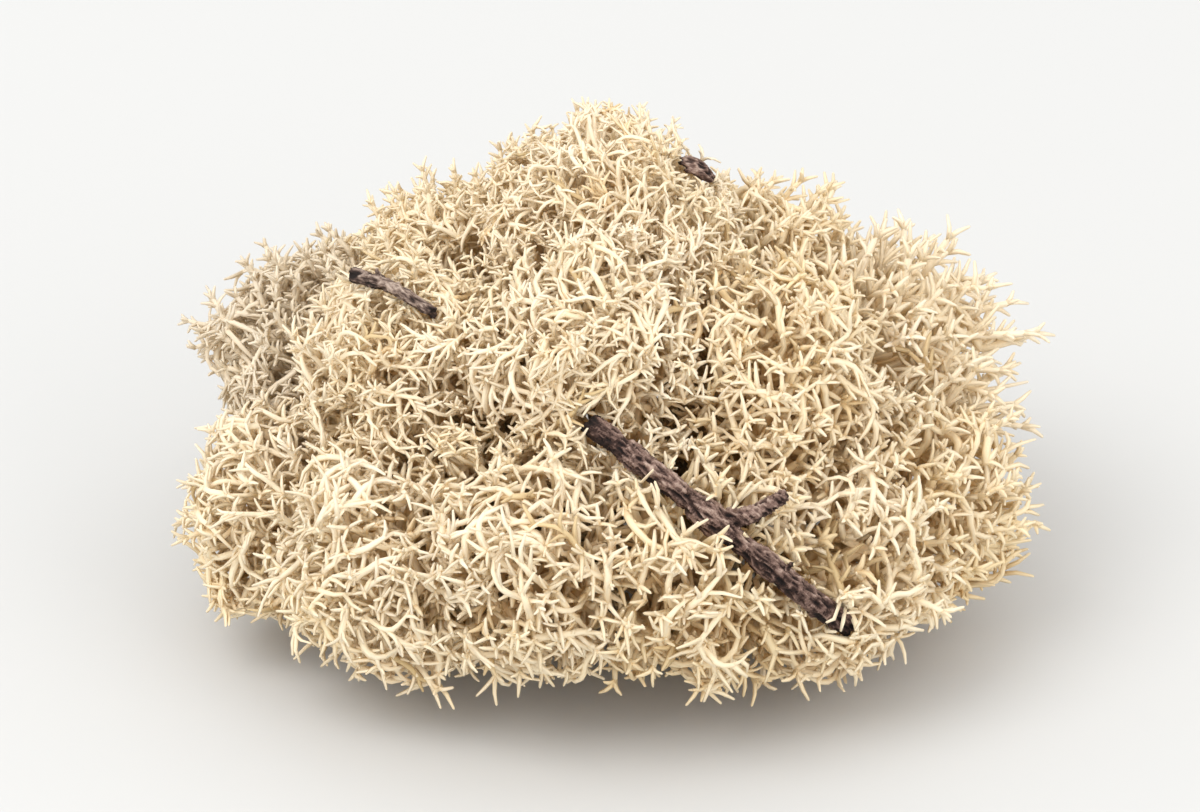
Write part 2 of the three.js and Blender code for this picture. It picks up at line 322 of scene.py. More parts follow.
class Strands:
    """Gathers closed tubes and what colours them, for one mesh."""

    def __init__(self):
        self.parts, self.count = [], 0

    def add(self, centres, radii, ages, tints, sides, blunt=1.0):
        """Tubes with the same number of rings: centres (n, rings, 3), radii and ages (n, rings)."""
        centres = bend_round_twigs(centres)
        tubes, rings = radii.shape
        tints = tints[:, None] + MOTTLE * np.sin(centres @ MOTTLE_WAVES)
        along = unit(np.gradient(centres, axis=1))
        start = along[:, 0]
        side = unit(np.cross(start, np.eye(3)[np.abs(start).argmin(1)]))
        body = tube_walls(centres, radii, along, side, sides).reshape(tubes, -1, 3)
        foot = centres[:, :1] - along[:, :1] * radii[:, :1, None] * 0.5
        tip = centres[:, -1:] + along[:, -1:] * radii[:, -1:, None] * blunt
        verts = np.concatenate([body, foot, tip], 1)
        ages, tints = (
            np.concatenate([np.repeat(a, sides, 1), a[:, :1], a[:, -1:]], 1) for a in (ages, tints)
        )
        quads, fans = tube_faces(rings, sides)
        offset = self.count + verts.shape[1] * np.arange(tubes)[:, None, None]
        self.parts.append((
            verts.reshape(-1, 3),
            (quads[None] + offset).reshape(-1, 4),
            (fans[None] + offset).reshape(-1, 3),
            np.clip(ages.reshape(-1), 0, 1),
            np.clip(tints.reshape(-1), 0, 1),
        ))
        self.count += tubes * verts.shape[1]

    def make(self, name, material):
        """The mesh object, in metres, with its age and tint and a map laid out by them."""
        vertices, quads, triangles, ages, tints = (np.concatenate(a) for a in zip(*self.parts))
        vertices[:, 2] = np.maximum(vertices[:, 2], 0.0)
        mesh = bpy.data.meshes.new(name)
        mesh.from_pydata(vertices * MM, [], quads.tolist() + triangles.tolist())
        mesh.shade_smooth()
        note(mesh, "age", "FLOAT", ages)
        note(mesh, "tint", "FLOAT", tints)
        # Turning each vertex a little on the map gives every face some width there.
        turn = np.arange(len(vertices)) * MAP_TURN
        places = np.stack([ages + MAP_STEP[0] * np.sin(turn), tints + MAP_STEP[1] * np.cos(turn)], 1)
        corners = np.concatenate([quads.ravel(), triangles.ravel()])
        layer = mesh.uv_layers.new(name="OFBake")
        layer.uv.foreach_set("vector", places[corners].astype(np.float32).ravel())
        mesh.materials.append(material)
        mesh.validate()
        return add_object(name, mesh)


# ---- Where tips grow ----


def outside(points):
    """How far points are outside the heads run together, whose they are, and which way is out."""
    away = points[:, None] - CENTRES
    reach = norm(away)
    gap = reach - RADII
    weight = np.exp(-gap / BLEND)
    out = unit((weight[:, :, None] * away / reach[:, :, None]).sum(1))
    return -BLEND * np.log(weight.sum(1)), gap.argmin(1), out


def tip_height(points):
    """How far the tips stand out of the heads' smooth outline, as small domes."""
    lumps = np.abs(drift(points, LUMP_SIZE, LUMP_FIELD)[:, 0]) / LUMP_SWING
    return (np.minimum(lumps, LUMP_TOP) - LUMP_MEAN) * LUMP_HEIGHT - TIP_INSET


def pit_depth_at(points, out):
    """How deep the pits sink the surface at each point."""
    across = (points - LAYOUT_SHIFT)[:, 0]
    height = (points - LAYOUT_SHIFT) @ VIEW_UP
    facing = out @ VIEW_BACK > 0.1
    sink = np.zeros(len(points))
    for pit_x, pit_y, radius, pit_depth in PITS:
        near = 1 - ((across - pit_x) ** 2 + (height - pit_y) ** 2) / radius**2
        sink += np.where(facing, np.clip(near, 0, 1) ** 0.5, 0.0) * pit_depth
    return sink


def find_surface(index, rng):
    """Where rays from a head's middle meet the air or a neighbour, and how deep in a crease."""
    scatter, first, last, pace = 0.03, 0.35, 1.5, 0.04 * RADII[index]
    count = int(4 * math.pi * RADII[index] ** 2 * CANDIDATES)
    rays = unit(all_round(count) + rng.normal(0, scatter, (count, 3)))
    steps = np.arange(first * RADII[index], last * RADII[index], pace)
    found = [outside(CENTRES[index] + rays * step)[:2] for step in steps]
    gaps, owners = (np.array(a) for a in zip(*found))
    event = ((gaps > 0) | (owners != index)).argmax(0)
    every = np.arange(count)
    gap_there = gaps[event, every]
    is_open = gap_there > 0
    before = gaps[np.maximum(event - 1, 0), every]
    back = np.where(is_open, gap_there / np.maximum(gap_there - before, 1e-6), 0.5)
    points = CENTRES[index] + rays * (steps[event] - back * pace)[:, None]
    return points, np.where(is_open, 0.0, np.maximum(-gap_there, 0.0))


def seen_share(points, out):
    """The share of the ways up and sideways from each point that no head blocks."""
    lowest_ray, head_share, least_ahead = -0.08, 0.9, -0.25
    rays = all_round(SKY_RAYS)
    rays = rays[rays[:, 2] > lowest_ray]
    to_heads = CENTRES - points[:, None]
    along = to_heads @ rays.T
    miss = (to_heads**2).sum(2)[:, :, None] - along**2
    blocked = ((along > 0) & (miss < (head_share * RADII[:, None]) ** 2)).any(1)
    ahead = out @ rays.T > least_ahead
    return (ahead & ~blocked).mean(1)


def to_line(points, line):
    """Each point's distance from a twig's middle line, and its place along it, from 0 to 1."""
    gap = norm(points[:, None] - line)
    return gap.min(1), gap.argmin(1) / (len(line) - 1)


def chip_gap(points):
    """How far each point is from the bark chip and from the opening in front of it."""
    offset = points - LAYOUT_SHIFT - BARK_CHIP
    ahead = np.clip(offset @ VIEW_BACK, 0, CHIP_OPENING)
    return norm(offset - ahead[:, None] * VIEW_BACK)


def bark_gap(path):
    """How near each strand, given as its points (n, rings, 3), comes to a woody bit's middle."""
    points = path.reshape(-1, 3)
    gaps = [to_line(points, line)[0] for line in (STEM, FORK, SHORT)]
    gaps.append(chip_gap(points) - CHIP_RADIUS)
    return np.min(gaps, axis=0).reshape(len(path), -1).min(1)


def leaves_bark_in_sight(points):
    """Which tips are far enough from the woody bits."""
    gap, along = to_line(points, STEM)
    clear = (gap > STEM_CLEAR) | (along > STEM_SUNK)
    clear &= to_line(points, FORK)[0] > FORK_CLEAR
    gap, along = to_line(points, SHORT)
    crossed_at, crossed_by = SHORT_CROSSED
    clear &= (gap > SHORT_CLEAR) | (np.abs(along - crossed_at) < crossed_by)
    return clear & (chip_gap(points) > CHIP_CLEAR)


def thin_out(points, spacing):
    """Indices of points kept so that none is nearer to an earlier one than its own spacing."""
    cell = spacing.max()
    grid, kept = {}, []
    keys = np.floor(points / cell).astype(int)
    around = [(x, y, z) for x in (-1, 0, 1) for y in (-1, 0, 1) for z in (-1, 0, 1)]
    for i, (x, y, z) in enumerate(keys.tolist()):
        near = [j for dx, dy, dz in around for j in grid.get((x + dx, y + dy, z + dz), ())]
        if near and norm(points[near] - points[i]).min() < spacing[i]:
            continue
        grid.setdefault((x, y, z), []).append(i)
        kept.append(i)
    return np.array(kept)


def find_places(rng):
    """Places on the heads that see some sky: place, depth in a crease, owner, way out, sky."""
    found = [find_surface(index, rng) for index in range(len(NAMES))]
    owner = np.repeat(np.arange(len(NAMES)), [len(points) for points, _ in found])
    points, depth = (np.concatenate(a) for a in zip(*found))
    keep = (depth < CREASE_DEPTH) & (points[:, 2] > LOWEST_TIP)
    points, depth, owner = points[keep], depth[keep], owner[keep]
    _, _, out = outside(points)
    seen = seen_share(points, out)
    keep = seen > LEAST_SEEN
    return tuple(a[keep] for a in (points, depth, owner, out, seen))


def find_tips(rng):
    """All the clump's tips: place, depth, way out and share of the sky seen; and their owners."""
    points, depth, owner, out, seen = find_places(rng)
    points = points + out * (tip_height(points) - RUNNER_RISE)[:, None]
    shell = rng.choice(len(SHELLS), len(points), p=SHELL_SHARES)
    shell[depth > SHALLOW_CREASE] = 0
    inset, sparseness = np.array(SHELLS)[shell].T
    inset = inset * rng.uniform(*LOOSE, len(points))
    points = points - out * inset[:, None]
    depth = depth + inset
    sink = pit_depth_at(points, out)
    points = points - out * sink[:, None]
    depth = depth + sink

    openness = np.where(inset > 0, 1 + OPEN_INSIDE * np.clip(COARSENESS[owner] - 1, 0, 1), 1.0)
    spacing = TIP_SPACING * COARSENESS[owner] * sparseness * openness
    spacing = spacing * (1 + CREASE_SPACING * (depth - inset)) * np.where(seen < DIM, DIM_SPACING, 1.0)
    order = np.argsort(depth + rng.random(len(depth)) * SHUFFLE)
    chosen = order[thin_out(points[order], spacing[order])]
    chosen = chosen[leaves_bark_in_sight(points[chosen])]
    return [a[chosen] for a in (points, depth, out, seen)], owner[chosen]


# ---- One tuft's tree ----


def gather(points, reach, rng):
    """Groups of two to four neighbours; a point with none left near it stays alone."""
    gap = norm(points[:, None] - points[None])
    free = np.ones(len(points), bool)
    order = np.argsort(-norm(points - points.mean(0)) + rng.normal(0, 1.0, len(points)))
    groups = []
    for i in order:
        if not free[i]:
            continue
        wanted = rng.choice(GROUP_SIZES, p=GROUP_CHANCES)
        near = np.argsort(np.where(free, gap[i], np.inf))[:wanted]
        near = [j for j in near if free[j] and gap[i, j] < reach]
        free[near] = False
        groups.append(near)
    return groups


def grow_tree(tips, outward, fork, scale, rng):
    """Nodes from the tips down to the fork: places, directions, parents, distance from the tips."""
    homing, sinking, longest_move, wobble = 0.68, 0.32, 0.6, 0.14
    now, facing, far = tips, outward, np.zeros(len(tips))
    levels, parents = [(now, facing, far)], []
    start = 0
    for step in np.array(LEVEL_STEPS) * scale:
        if len(now) <= LAST_ARMS:
            break
        start += len(now)
        parent = np.empty(len(now), int)
        nodes = []
        for g, members in enumerate(gather(now, 1.9 * step + 0.4, rng)):
            parent[members] = start + g
            middle = now[members].mean(0)
            face = unit(facing[members].mean(0))
            home = fork - middle
            left = norm(home)
            way = unit(homing * home / max(left, 1e-6) - sinking * face)
            move = min(step * rng.uniform(*LOOSE), longest_move * left)
            place = middle + way * move + rng.normal(0, wobble * step, 3)
            nodes.append((place, unit(middle - place), (far[members] + norm(now[members] - place)).mean()))
        parents.append(parent)
        now, facing, far = (np.array(a) for a in zip(*nodes))
        levels.append((now, facing, far))
    parents.append(np.full(len(now), start + len(now)))
    last_far = (far + norm(now - fork)).mean()
    levels.append((fork[None], unit(now.mean(0) - fork)[None], [last_far]))
    places, directions, distances = (np.concatenate(a) for a in zip(*levels))
    return places, directions, np.concatenate(parents), distances


def branch_radii(parents, count, scale):
    """Each node's radius, thickening downwards."""
    power = np.zeros(count)
    children = np.bincount(parents, minlength=count)
    power[children == 0] = (TIP_RADIUS * scale) ** RADIUS_POWER
    for node, parent in enumerate(parents):
        power[parent] += power[node]
    return np.minimum(power ** (1 / RADIUS_POWER), MAX_ARM_RADIUS)


def tip_radius(scale):
    """How thick the outer arms are; coarse tufts have longer arms, but not as much thicker ones."""
    return TIP_RADIUS * min(scale, scale**0.7)


def tints_at(points, rng):
    """A tint for each strand: patches some millimetres across, and a little of its own."""
    patch = drift(points, TINT_PATCH, TINT_FIELD)[:, 0]
    return np.clip(0.5 + 0.55 * patch + rng.normal(0, 0.1, len(points)), 0, 1)


def add_branches(strands, tree, radii, tips, rng):
    """The tree's own branches, from each node down to its parent."""
    places, directions, parents, distances = tree
    child = np.arange(len(parents))
    span = norm(places[child] - places[parents])
    leave = unit(directions[parents] + 0.4 * unit(places[child] - places[parents]))
    arrive = unit(directions[child])
    bow = square_to(arrive, rng) * rng.normal(0, 0.09, (len(child), 1))
    tints = tints_at(places[child], rng)
    tip = child < tips
    thin = ~tip & (radii[child] < THICK_ARM)
    for chosen, rings, sides in ((tip, 3, 3), (thin, 4, 4), (~tip & ~thin, 5, 6)):
        pick = np.flatnonzero(chosen & (span > 0.5))
        path = curve(places[parents[pick]], places[pick], leave[pick], arrive[pick], rings, bow[pick])
        t = np.linspace(0, 1, rings)[None]
        thick = np.minimum(radii[pick] * 1.35, radii[parents[pick]])[:, None]
        radius = radii[pick][:, None] + (thick - radii[pick][:, None]) * (1 - t) ** 2
        radius = radius * rng.uniform(0.92, 1.08, radius.shape)
        far = distances[parents[pick]][:, None] * (1 - t) + distances[pick][:, None] * t
        strands.add(path, radius, far / AGE_SPAN + 0.05, tints[pick], sides, blunt=0.7)


def add_stars(strands, tips, directions, length, scale, lean_share, depth, browning_and_shade, rng):
    """Arms that spread from each tip like a star and bend over sideways, so that they make a lace."""
    outer = depth < OUTER
    deep = depth > DEEP
    arms = rng.choice([3, 4], len(tips), p=[0.6, 0.4]) - ~outer
    for chosen, bends in ((outer, (0.45, 0.95, 1.25)), (~outer & ~deep, (0.6, 1.15)), (deep, (0.9,))):
        owner = np.repeat(np.flatnonzero(chosen), arms[chosen])
        first = np.concatenate([[0], np.cumsum(arms[chosen])[:-1]])
        order = np.arange(len(owner)) - np.repeat(first, arms[chosen])
        forward = directions[owner]
        side_of = square_to(directions, rng)
        up_of = np.cross(directions, side_of)
        turn = 2 * np.pi * (order / arms[owner]) + rng.normal(0, 0.3, len(owner))
        sideways = between(side_of[owner], up_of[owner], turn)
        curl = np.cross(forward, sideways) * rng.normal(0, 0.45, (len(owner), 1))
        lean = lean_share * rng.uniform(0.65, 1.35, (len(owner), 1))
        size = (length[owner] * rng.uniform(0.5, 1.25, len(owner)))[:, None]
        centres = [tips[owner]]
        for bend in bends:
            way = forward * np.cos(lean * bend) + sideways * np.sin(lean * bend) + curl * bend
            centres.append(centres[-1] + unit(way) * size / len(bends))
        rings = len(centres)
        taper = np.interp(np.linspace(0, 1, rings), (0, 0.6, 1), (0.95, 0.85, 0.5))
        thick = np.where(outer[owner], 1.0, INNER_SWELL)[:, None]
        radii = tip_radius(scale) * thick * taper * rng.uniform(0.85, 1.1, (len(owner), 1))
        ages = 0.05 * (1 - np.linspace(0, 1, rings)) + browning_and_shade[owner][:, None]
        strands.add(np.stack(centres, 1), radii, ages, tints_at(tips[owner], rng), 3)


def add_sprigs(strands, bases, directions, scale, stretch, browning_and_shade, rng):
    """Sprigs that stand clear of the head and fork like the arms of a snowflake."""
    forward = unit(directions + 0.25 * rng.normal(size=directions.shape))
    side = square_to(forward, rng)
    up = np.cross(forward, side)
    length = stretch * rng.uniform(*SPRIG_LENGTH, (len(bases), 1))
    t = np.array([0, 0.3, 0.65, 1.0])[:, None]
    bow = rng.normal(0, 0.22, (len(bases), 1)) * side
    way = forward[:, None] * t + bow[:, None] * t**2
    path = bases[:, None] + way * length[:, None]
    clear = bark_gap(path) > SPRIG_CLEAR
    path, forward, side, up, browning_and_shade = (a[clear] for a in (path, forward, side, up, browning_and_shade))
    tints = tints_at(path[:, -1], rng)
    taper = np.array([1.4, 1.25, 1.1, 0.95])
    radii = tip_radius(scale) * taper * rng.uniform(0.85, 1.15, (len(path), 1))
    ages = np.array([0.08, 0.05, 0.02, 0.0]) + browning_and_shade[:, None]
    strands.add(path, radii, ages, tints, 4, blunt=0.8)
    first_turn = rng.uniform(0, 2 * np.pi, len(path))
    for ring, arms, spread in SPRIG_ARMS:
        owner = np.repeat(np.arange(len(path)), arms)
        order = np.tile(np.arange(arms), len(path))
        turn = first_turn[owner] + ring * 1.3 + 2 * np.pi * order / arms
        turn = turn + rng.normal(0, 0.25, len(owner))
        sideways = between(side[owner], up[owner], turn)
        size = scale * rng.uniform(0.8, 1.9, (len(owner), 1))
        centres = [path[owner, ring]]
        for bend in (0.8, 1.2):
            lean = spread * bend * rng.uniform(0.8, 1.2, (len(owner), 1))
            way = forward[owner] * np.cos(lean) + sideways * np.sin(lean)
            centres.append(centres[-1] + way * size / 2)
        add_fine_arms(strands, np.stack(centres, 1), (1.0, 0.85, 0.5), scale, browning_and_shade[owner], tints[owner], rng)


def add_fine_arms(strands, centres, taper, scale, browning_and_shade, tints, rng):
    """The last side arms of a sprig or a long strand: (n, 3, 3)."""
    radii = tip_radius(scale) * np.array(taper) * rng.uniform(0.9, 1.1, (len(centres), 1))
    ages = np.array([0.04, 0.02, 0.0]) + browning_and_shade[:, None]
    strands.add(centres, radii, ages, tints, 3)


def run_over(index, starts, out, rng):
    """Paths that wander from the tips over a head, and which of them stay on it."""
    scale = COARSENESS[index]
    count = len(starts)
    flow = drift(starts, FLOW_SIZE, FLOW_FIELD)
    flow = unit(flow - out * (flow * out).sum(1, keepdims=True))
    heading = unit(flow + 0.55 * square_to(out, rng))
    normal = out
    curl = rng.normal(0, 0.1, count)
    path = [starts]
    inside = np.ones(count, bool)
    for step in range(1, RUNNER_STEPS + 1):
        turn = curl + rng.normal(0, 0.16, count)
        heading = unit(between(heading, np.cross(normal, heading), turn))
        points = path[-1] + heading * RUNNER_PACE * scale
        gap, owner, normal = outside(points)
        t = step / RUNNER_STEPS
        rise = RUNNER_RISE * math.sin(0.85 * math.pi * t) - RUNNER_DIVE * t**3
        wanted = tip_height(points) - pit_depth_at(points, normal) + rise
        climb = np.clip(wanted - gap, -RUNNER_CLIMB, RUNNER_CLIMB) * RUNNER_PACE * scale
        points = points + normal * climb[:, None]
        heading = unit(points - path[-1])
        inside &= (owner == index) & (points[:, 2] > LOWEST_STRAND[1])
        path.append(points)
    path = np.stack(path, 1)
    return path, inside & (bark_gap(path) > RUNNER_CLEAR)


def add_runners(strands, index, starts, out, browning_and_shade, rng):
    """Long strands that wander from the tips over the surface and fork there, as an open net."""
    scale = COARSENESS[index]
    path, inside = run_over(index, starts, out, rng)
    path, browning_and_shade = path[inside], browning_and_shade[inside]
    count = len(path)
    browning_and_shade = browning_and_shade + np.where(rng.random(count) < DEAD_SHARE, rng.uniform(0.25, 0.55, count), 0.0)
    along = np.linspace(0, 1, RUNNER_STEPS + 1)
    taper = np.interp(along, (0, 0.5, 1), (1.4, 1.2, 0.55))
    radii = tip_radius(scale) * taper * rng.uniform(0.8, 1.15, (count, 1))
    ages = 0.06 * (1 - along) + browning_and_shade[:, None]
    tints = tints_at(path[:, 2], rng)
    strands.add(path, radii, ages, tints, 4)

    for ring in range(1, RUNNER_STEPS):
        chosen = rng.random(count) < RUNNER_FORKS
        base = path[chosen, ring]
        forward = unit(path[chosen, ring] - path[chosen, ring - 1])
        _, _, normal = outside(base)
        side = np.cross(normal, forward) * rng.choice([-1, 1], len(base))[:, None]
        away = unit(0.75 * forward + 0.7 * side + rng.normal(0.14, 0.25, (len(base), 1)) * normal)
        bend = unit(away + 0.25 * side + rng.normal(0, 0.25, away.shape))
        size = scale * rng.uniform(1.2, 3.0, (len(base), 1))
        arms = short_arms(base, away, bend, size)
        add_fine_arms(strands, arms, (1.05, 0.9, 0.5), scale, browning_and_shade[chosen], tints[chosen], rng)


def add_side_twigs(strands, tree, tips, scale, rng):
    """Short side branches along the inner ones; they close the view into the tuft."""
    places, directions, parents, distances = tree
    child = np.arange(tips, len(parents))
    span = norm(places[child] - places[parents[child]])
    deep = np.clip((distances[child] - 4) / 6, 0, 1)
    counts = np.maximum((span * (1 + deep) / SIDE_SPACING).astype(int), 1)
    owner = np.repeat(child, counts)
    t = rng.uniform(0.15, 0.9, len(owner))[:, None]
    base = places[parents[owner]] * (1 - t) + places[owner] * t
    forward = unit(places[owner] - places[parents[owner]])
    away = unit(square_to(forward, rng) + 0.6 * forward)
    stretch = 1 + 0.9 * np.repeat(deep, counts)
    size = (scale * stretch * rng.uniform(1.2, 3.0, len(owner)))[:, None]
    bend = unit(away + 0.5 * rng.normal(size=away.shape))
    taper = np.array([1.15, 0.9, 0.55])
    radius = TIP_RADIUS * scale * rng.uniform(0.8, 1.15, (len(owner), 1)) * taper
    distance = distances[parents[owner]] * (1 - t[:, 0]) + distances[owner] * t[:, 0]
    ages = (distance / AGE_SPAN)[:, None] * np.array([1.0, 0.85, 0.7]) + 0.05
    strands.add(short_arms(base, away, bend, size), radius, ages, tints_at(base, rng), 3)


def add_stalk(strands, foot, fork, fork_radius, fork_distance, rng):
    """The dead stalk, and the bare broken branches on it."""
    rings = 9
    axis = unit(fork - foot)
    side = square_to(axis[None], rng)[0]
    t = np.linspace(0, 1, rings)
    path = foot + (fork - foot) * t[:, None]
    path += side * (np.sin(t * math.pi) * rng.uniform(0.3, 0.8))[:, None]
    radius = FOOT_RADIUS + (fork_radius * 1.1 - FOOT_RADIUS) * t
    radius = radius * rng.uniform(0.93, 1.07, rings)
    length = norm(fork - foot)
    ages = (fork_distance + length * (1 - t)) / AGE_SPAN
    strands.add(path[None], radius[None], ages[None], np.array([0.5]), 8, blunt=0.6)

    count = int(length * STALK_TWIGS)
    at = rng.uniform(0.12, 1.0, (count, 1)) ** 0.8
    base = foot + (fork - foot) * at
    away = unit(square_to(np.repeat(axis[None], count, 0), rng) + rng.uniform(0, 1.3, (count, 1)) * axis)
    lift = unit(away + [0, 0, 0.6] + 0.5 * rng.normal(size=away.shape))
    size = rng.uniform(2.5, 8.0, (count, 1))
    thin = rng.uniform(0.25, 0.42, (count, 1)) * np.array([1.1, 0.85, 0.5])
    ages = rng.uniform(0.6, 1.0, (count, 1)) * np.array([1.0, 0.95, 0.85])
    arms = short_arms(base, away, lift, size)
    strands.add(arms, thin, ages, rng.uniform(0.2, 0.8, count), 4)


def shade_tips(points, depth, out, seen):
    """How browned and shaded each tip is: deep ones, low ones and those in a pit are browner with age, and
    painted shade darkens them and the tips that see little sky.
    """
    # painted shade: deeper tips and tips that see little sky are darker; the deeper ones are also browner
    # with age
    browning_and_shade = np.clip(0.05 * depth + 0.5 * np.clip(0.2 - seen, 0, 1), 0, 0.3)
    # darker towards the ground: partly real browning of the older lower parts, partly painted shade
    browning_and_shade = browning_and_shade + LOW_BROWNING_AND_SHADE * np.clip(1 - points[:, 2] / BROWN_AND_SHADE_BELOW, 0, 1)
    # darker the deeper a pit sinks: partly browner dead interior, partly painted shade in the pit
    return np.minimum(browning_and_shade + 0.12 * pit_depth_at(points, out), 0.6)


def grow_tuft(index, tips, material, rng):
    """One tuft, from its star-like tips down to the foot it stands on."""
    name = NAMES[index]
    points, depth, out, seen = tips
    head = CENTRES[index]
    foot = np.append((head - LAYOUT_SHIFT)[:2] * FOOT_GATHER, 0) + LAYOUT_SHIFT
    fork = foot + (head - foot) * FORK_SHARE
    outward = unit(0.6 * out + 0.4 * unit(points - fork))
    outward = unit(outward + 0.22 * rng.normal(size=out.shape))
    points = points + drift(points, WANDER_SIZE, WANDER_FIELD) * WANDER
    points = points + outward * rng.normal(0, JITTER, (len(points), 1))
    stray = rng.random(len(points)) < STRAY_SHARE
    points = points + stray[:, None] * (outward + square_to(outward, rng))
    points[:, 2] = np.maximum(points[:, 2], LOWEST_STRAND[0])

    scale, tine_share, sprig_share = COARSENESS[index], TINE_SHARES[index], SPRIG_SHARES[index]
    tree = grow_tree(points, outward, fork, scale, rng)
    radii = branch_radii(tree[2], len(tree[0]), scale)
    browning_and_shade = shade_tips(points, depth, out, seen)
    strands = Strands()
    add_branches(strands, tree, radii, len(points), rng)

    # Tufts with long tines hold them straighter, and run over their heads less.
    patch = 1 + 0.45 * drift(points, 5.0, TINE_FIELD)[:, 0]
    length = TINE_LENGTH * scale * tine_share * patch * rng.uniform(*LOOSE, len(points))
    lean_share = np.interp(tine_share, (1.0, 1.6), (1.05, 0.5))
    add_stars(strands, points, outward, length, scale, lean_share, depth, browning_and_shade, rng)
    runner_share = np.interp(tine_share, (1.0, 1.6), (RUNNER_SHARE, 0.45))
    runs = (depth < OUTER) & (rng.random(len(points)) < runner_share)
    add_runners(strands, index, points[runs], out[runs], browning_and_shade[runs], rng)

    sprigs = (depth < OUTER) & (rng.random(len(points)) < sprig_share) & (out[:, 2] > -0.15)
    stretch = scale * np.interp(sprig_share, (0.1, 0.8), (0.9, 1.5))
    way = unit(out[sprigs] + outward[sprigs])
    add_sprigs(strands, points[sprigs], way, scale, stretch, browning_and_shade[sprigs], rng)
    add_side_twigs(strands, tree, len(points), scale, rng)
    add_stalk(strands, foot, fork, radii[-1], tree[3][-1], rng)
    return strands.make(name + "_branches", material)


# ---- Woody bits ----


def rod(path, radii, sides, rng, ragged=0.25):
    """A closed rod's vertices and faces, with ragged ends."""
    along = unit(np.gradient(path, axis=0))
    side = unit(np.cross(along[0], [0.3, 0.9, 0.2]))
    rows = tube_walls(path[None], radii[None], along[None], side[None], sides)[0]
    rows[0] -= along[0] * rng.uniform(0, ragged, (sides, 1))
    rows[-1] += along[-1] * rng.uniform(0, 2 * ragged, (sides, 1))
    quads, fans = tube_faces(len(path), sides)
    return np.concatenate([*rows, path[:1], path[-1:]]), quads.tolist() + fans.tolist()


def swelling(t, at, width, height):
    """A knot's extra radius along a twig."""
    return height * np.exp(-(((t - at) / width) ** 2))


def melt(name, solids, voxel):
    """Closed solids, in millimetres, run together into one skin by a voxel remesh."""
    verts, faces = [], []
    for solid_verts, solid_faces in solids:
        faces += [[len(verts) + corner for corner in face] for face in solid_faces]
        verts += (solid_verts * MM).tolist()
    mesh = bpy.data.meshes.new(name + "_rough")
    mesh.from_pydata(verts, [], faces)
    rough = add_object(name + "_rough", mesh)
    remesh = rough.modifiers.new("remesh", "REMESH")
    remesh.mode = "VOXEL"
    remesh.voxel_size = voxel * MM
    bpy.context.view_layer.update()
    depsgraph = bpy.context.evaluated_depsgraph_get()
    skin = bpy.data.meshes.new_from_object(rough.evaluated_get(depsgraph))
    bpy.data.objects.remove(rough)
    bpy.data.meshes.remove(mesh)
    skin.name = name
    return skin


def read_vertices(mesh, field):
    values = np.empty(len(mesh.vertices) * 3)
    mesh.vertices.foreach_get(field, values)
    return values.reshape(-1, 3)


def place_on_bark(places, spine):
    """Where each point is on the bark: how far along the spine, and its two offsets from it."""
    spine = smooth_path(spine, 120) + LAYOUT_SHIFT
    nearest = norm(places[:, None] - spine).argmin(1)
    lengths = norm(np.diff(spine, axis=0))
    along = np.concatenate([[0], np.cumsum(lengths)])[nearest]
    offset = places - spine[nearest]
    axis = unit(spine[-1] - spine[0])
    side = unit(np.cross(axis, [0.2, 0.3, 1.0]))
    up = np.cross(axis, side)
    return along + offset @ axis, offset @ side, offset @ up


def bark_skin(name, solids, voxel, spine, material, ridge, lump, end_shade):
    """Melts solids together, raises bark on their skin, darkens its cracks, paints shade at its ends and on
    its underside, and paints light on its upper side.
    """
    stretch = 3.2  # ridges are this much longer along the twig than across it
    skin = melt(name, solids, voxel)
    places = read_vertices(skin, "co") / MM
    along, across, up = place_on_bark(places, spine)
    bark = np.stack([along / stretch, across, up], 1)
    heights = np.array([
        ridge * (0.9 - 3.2 * abs(noise.noise(Vector(b) * 2.3)) + 0.6 * noise.noise(Vector(b) * 7.3))
        + lump * noise.noise(Vector(p) / 1.7)
        for b, p in zip(bark, places)
    ])
    normals = read_vertices(skin, "normal")
    moved = places + normals * heights[:, None]
    skin.vertices.foreach_set("co", (moved * MM).ravel())
    # painted shade: the bark darkens towards both ends of each piece
    from_end = np.minimum(along, along.max() - along)
    # painted light and shade: the upper side is painted lighter and the underside darker, as if lit from
    # above
    painted_light_and_shade = 0.16 * normals[:, 2] - 0.3 * np.exp(-from_end / end_shade)
    wear_and_shading = 0.5 + heights / (2.2 * (ridge + lump)) + painted_light_and_shade
    note(skin, "bark", "FLOAT_VECTOR", bark)
    note(skin, "relief_and_shading", "FLOAT", np.clip(wear_and_shading, 0, 1))
    skin.materials.append(material)
    skin.shade_smooth()
    skin.update()
    return add_object(name, skin)


def make_forked_twig(material, rng):
    """A stem with a knot under its fork, one arm and four broken side shoots."""
    rings, arm_rings = 70, 20
    stem = smooth_path(STEM_COURSE, rings) + LAYOUT_SHIFT
    fork = smooth_path(FORK_COURSE, arm_rings) + LAYOUT_SHIFT
    t = np.linspace(0, 1, rings)
    knot = swelling(t, 0.42, 0.06, 0.42) + swelling(t, 0.16, 0.04, 0.2)
    knot += 0.07 * np.sin(t * 31) + 0.05 * np.sin(t * 53)
    solids = [
        rod(stem, 0.92 + 0.14 * t + knot, 18, rng),
        rod(fork, np.linspace(0.92, 0.58, arm_rings), 14, rng, 0.45),
    ]
    for at, away, size, radius in SPURS:
        base = stem[int(at * (rings - 1))]
        path = base + unit(np.array(away, float)) * np.linspace(0, size, 6)[:, None]
        solids.append(rod(path, np.linspace(radius, 0.4 * radius, 6), 10, rng, 0.2))
    return bark_skin("forked_twig_bark", solids, 0.165, STEM_COURSE, material, 0.2, 0.16, 0.9)


